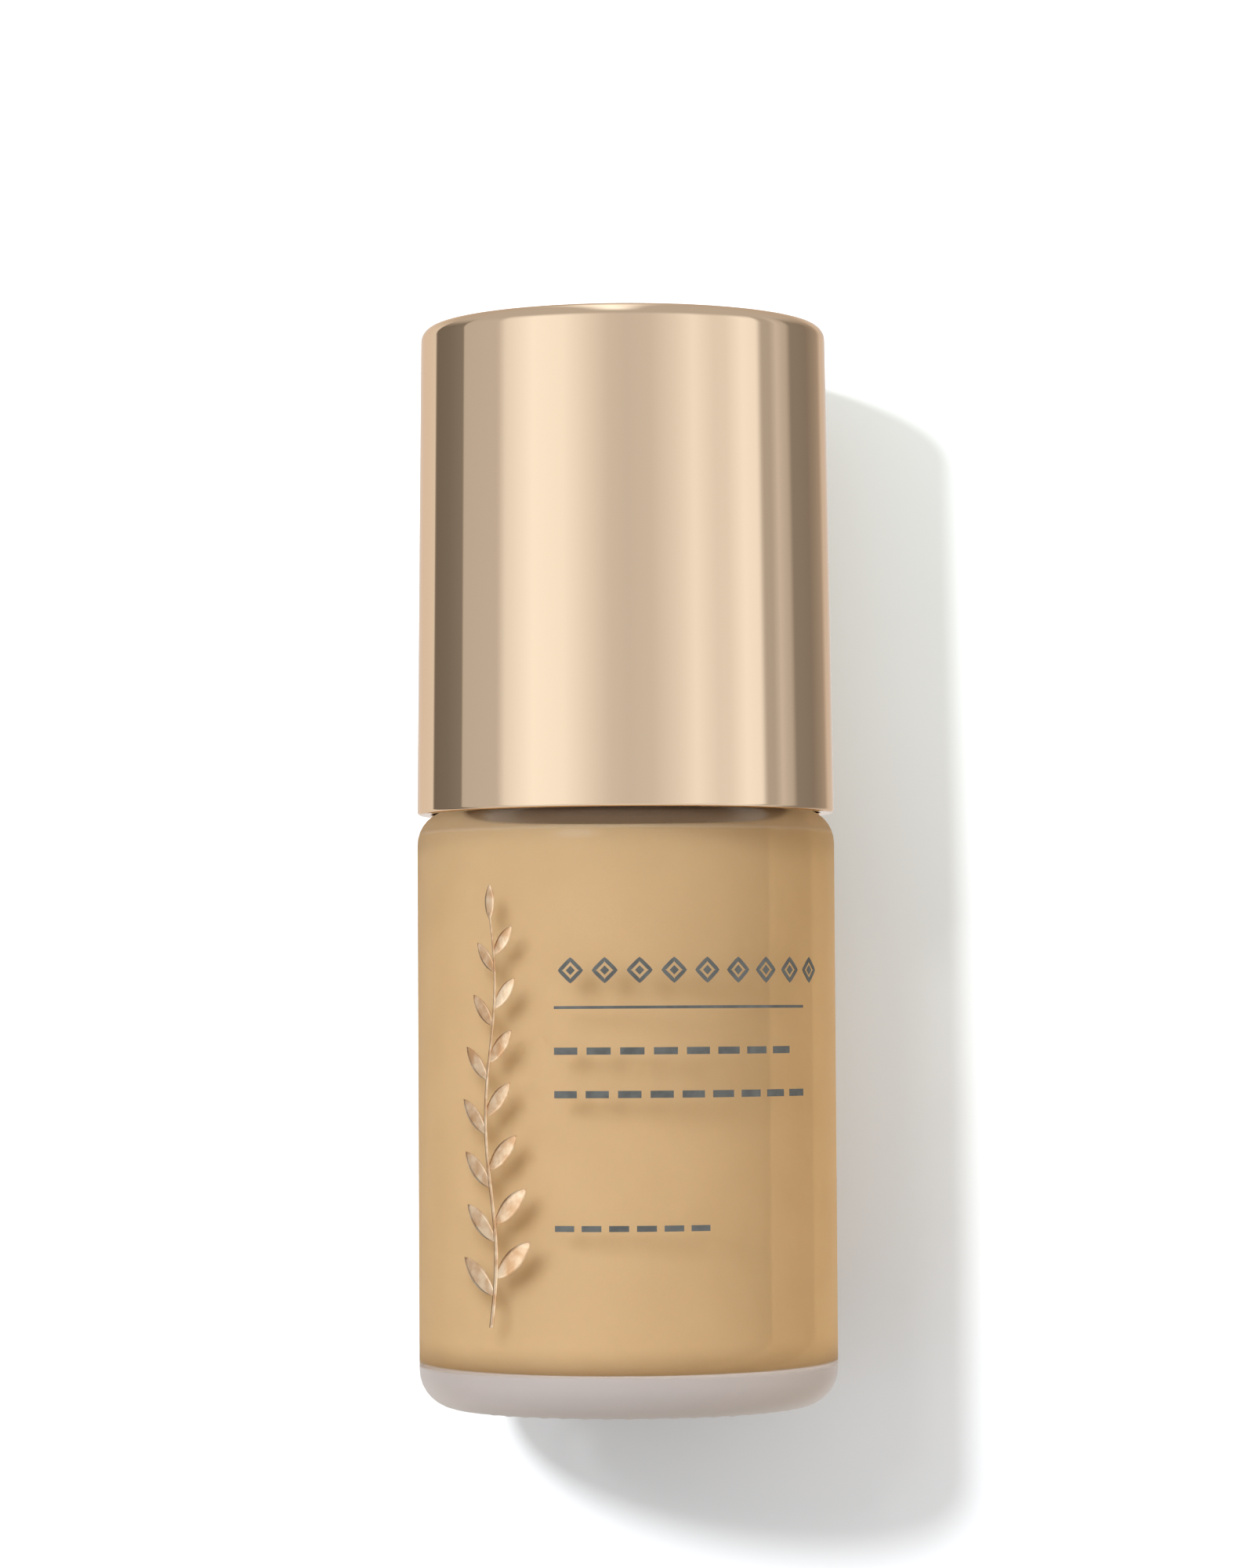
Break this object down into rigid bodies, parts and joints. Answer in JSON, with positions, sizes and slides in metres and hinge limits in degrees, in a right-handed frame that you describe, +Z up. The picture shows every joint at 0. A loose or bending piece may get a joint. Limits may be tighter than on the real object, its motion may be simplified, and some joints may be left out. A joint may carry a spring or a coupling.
{
  "type": "foundation bottle",
  "caption": "Round frosted-glass cosmetic bottle with a heavy base, a screw-on treatment pump and a tall metallised over-cap that lifts off.",
  "frame": {"origin": "centre of the base, on the surface that the bottle stands on", "axes": "+Z up along the bottle's axis; -Y is the printed front, towards which the spout points at rest"},
  "size_m": [0.036, 0.036, 0.0932],
  "materials": {
    "frosted_glass": "acid-frosted outside, faintly warm",
    "foundation_liquid": "opaque beige liquid",
    "rose_gold_plastic": "vacuum-metallised, mirror bright rose gold",
    "foil": "hot-stamped rose-gold foil",
    "ink": "screen-printed dark grey ink, semi-gloss",
    "label_paper": "plain coated paper",
    "white_plastic": "moulded polypropylene, satin",
    "clear_plastic": "natural polypropylene, hazy",
    "seal_plastic": "soft polyethylene",
    "gasket_foam": "foamed polyethylene disc",
    "stainless_steel": "bright drawn steel"
  },
  "bodies": {
    "bottle": {"glass_bottle": "frosted_glass", "foundation_fill": "foundation_liquid", "shade_label": "label_paper", "foil_sprig": "foil", "ink_frieze": "ink"},
    "pump": {"pump_housing": "clear_plastic", "neck_gasket": "gasket_foam", "lock_ring": "white_plastic", "dip_tube": "clear_plastic", "return_spring": "stainless_steel"},
    "closure": {"screw_closure": "white_plastic", "collar_sleeve": "rose_gold_plastic"},
    "over_cap": {"cap_shell": "rose_gold_plastic", "cap_liner": "white_plastic"},
    "stem": {"pump_stem": "white_plastic", "valve_plug": "white_plastic"},
    "piston": {"piston_seal": "seal_plastic"},
    "head": {"head_core": "white_plastic", "head_shell": "rose_gold_plastic", "nozzle_insert": "white_plastic"},
    "ball": {"inlet_ball": "stainless_steel"}
  },
  "joints": [
    {"name": "pump_rise", "type": "slide", "parent": "bottle", "child": "pump", "axis": [0, 0, 1], "range_m": [0, 0.0056]},
    {"name": "closure_turn", "type": "hinge", "parent": "pump", "child": "closure", "pos_m": [0, 0, 0.069], "axis": [0, 0, 1], "range_deg": [0, 630]},
    {"name": "cap_lift", "type": "slide", "parent": "closure", "child": "over_cap", "axis": [0, 0, 1], "range_m": [0, 0.045]},
    {"name": "pump_press", "type": "slide", "parent": "pump", "child": "stem", "axis": [0, 0, -1], "range_m": [0, 0.0048], "stiffness_N_per_m": 900, "springref_m": -0.003, "deforming": ["return_spring"]},
    {"name": "nozzle_turn", "type": "hinge", "parent": "stem", "child": "head", "pos_m": [0, 0, 0.08], "axis": [0, 0, 1], "continuous": true},
    {"name": "piston_slip", "type": "slide", "parent": "stem", "child": "piston", "axis": [0, 0, 1], "range_m": [0, 0.0008]},
    {"name": "ball_lift", "type": "slide", "parent": "pump", "child": "ball", "axis": [0, 0, 1], "range_m": [0, 0.0012]}
  ],
  "couplings": [
    {"joint": "pump_rise", "follows": "closure_turn", "m_per_rad": 0.00050532}
  ]
}
